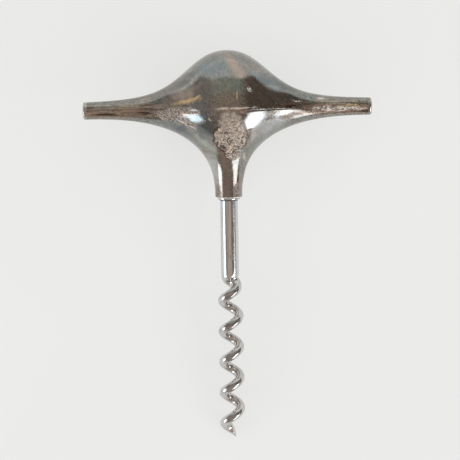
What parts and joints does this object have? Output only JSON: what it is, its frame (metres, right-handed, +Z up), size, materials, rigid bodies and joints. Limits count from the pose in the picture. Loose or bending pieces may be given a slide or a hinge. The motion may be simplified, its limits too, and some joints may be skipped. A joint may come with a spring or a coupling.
{
  "type": "corkscrew",
  "caption": "T-handled corkscrew: hollow domed handle with two tapering arms, round neck, straight steel shank and a pointed right-hand worm.",
  "frame": {"origin": "middle of the bounding box, on the table that the corkscrew lies on", "axes": "+X along the arms to the right, +Y from the worm's point towards the dome, +Z up from the table; it lies on its back, so the worm's axis dips 5.8 degrees towards the point"},
  "size_m": [0.1006, 0.136, 0.032],
  "materials": {
    "silver_plate": "polished",
    "steel": "polished",
    "plain_steel": "satin"
  },
  "bodies": {
    "root": {"upper_shell": "silver_plate", "lower_shell": "silver_plate", "left_end_cap": "silver_plate", "right_end_cap": "silver_plate", "neck_bush": "silver_plate", "anchor_plate": "plain_steel", "tang_nut": "plain_steel", "worm_shank": "steel"}
  },
  "joints": []
}
